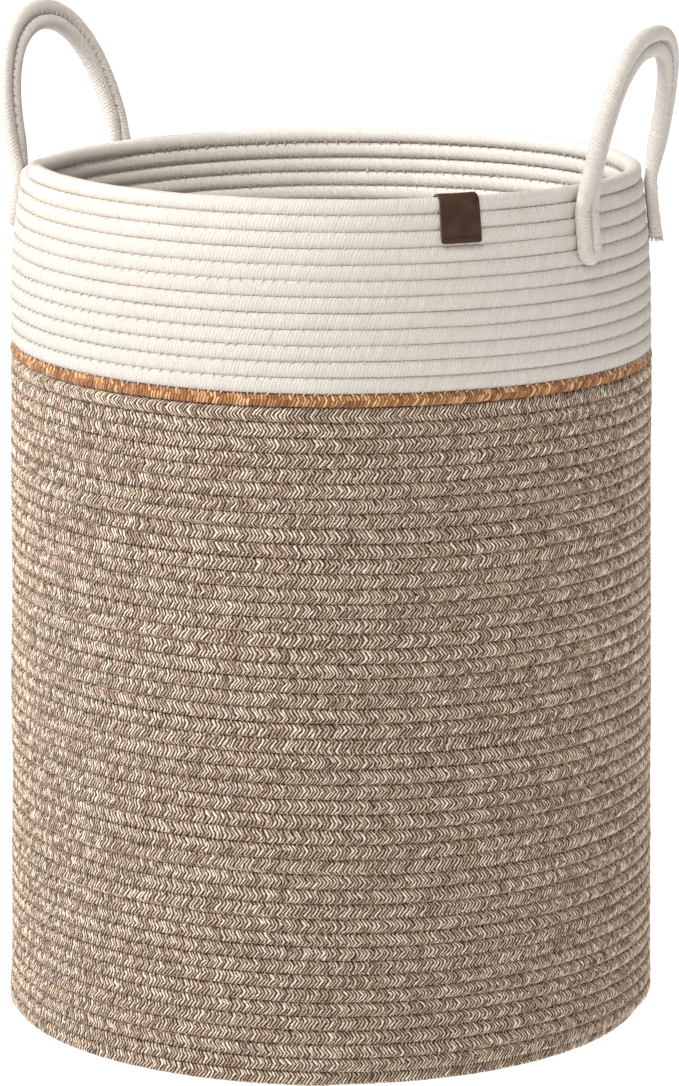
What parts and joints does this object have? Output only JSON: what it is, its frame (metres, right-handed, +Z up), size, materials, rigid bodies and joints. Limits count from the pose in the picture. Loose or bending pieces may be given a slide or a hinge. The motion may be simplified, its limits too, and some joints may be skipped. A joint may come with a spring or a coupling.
{
  "type": "rope laundry basket",
  "caption": "Open cylindrical basket of coiled and sewn cotton rope in brown and cream, with a tan accent cord, a folded leather label and doubled-rope loop handles.",
  "frame": {"origin": "centre of the underside of the base, on the floor", "axes": "+Z up along the basket's axis, handles towards +X and -X, -Y is the front, where the label is a little to the right"},
  "size_m": [0.4007, 0.3822, 0.5859],
  "materials": {
    "brown_rope": "heathered chevron braid, matt",
    "tan_cord": "braided cord, matt",
    "cream_rope": "fine cotton braid, matt",
    "label_leather": "smooth dark leather, satin",
    "cream_thread": "sewing thread",
    "dark_thread": "sewing thread"
  },
  "bodies": {
    "basket": {"base_coil": "brown_rope", "lower_wall_coil": "brown_rope", "accent_cord": "tan_cord", "upper_wall_coil": "cream_rope", "rim_coil": "cream_rope", "leather_label": "label_leather", "label_stitch": "dark_thread", "right_handle_front_tail": "cream_rope", "right_handle_back_tail_1": "cream_rope", "right_handle_back_tail_2": "cream_rope", "right_handle_front_tack_lower": "cream_thread", "right_handle_front_tack_upper": "cream_thread", "right_handle_back_tack_lower": "cream_thread", "right_handle_back_tack_upper": "cream_thread", "left_handle_front_tail": "cream_rope", "left_handle_back_tail_1": "cream_rope", "left_handle_back_tail_2": "cream_rope", "left_handle_front_tack_lower": "cream_thread", "left_handle_front_tack_upper": "cream_thread", "left_handle_back_tack_lower": "cream_thread", "left_handle_back_tack_upper": "cream_thread"},
    "right_handle": {"right_handle_outer_strand": "cream_rope", "right_handle_inner_strand": "cream_rope", "right_handle_seam": "cream_thread"},
    "left_handle": {"left_handle_outer_strand": "cream_rope", "left_handle_inner_strand": "cream_rope", "left_handle_seam": "cream_thread"}
  },
  "joints": [
    {"name": "right_handle_fold", "type": "hinge", "parent": "basket", "child": "right_handle", "pos_m": [0.17601, -0.00922, 0.5], "axis": [0.0523, 0.9986, 0], "range_deg": [-40, 100]},
    {"name": "left_handle_fold", "type": "hinge", "parent": "basket", "child": "left_handle", "pos_m": [-0.17424, 0.0345, 0.5], "axis": [-0.1942, -0.981, 0], "range_deg": [-40, 100]}
  ]
}
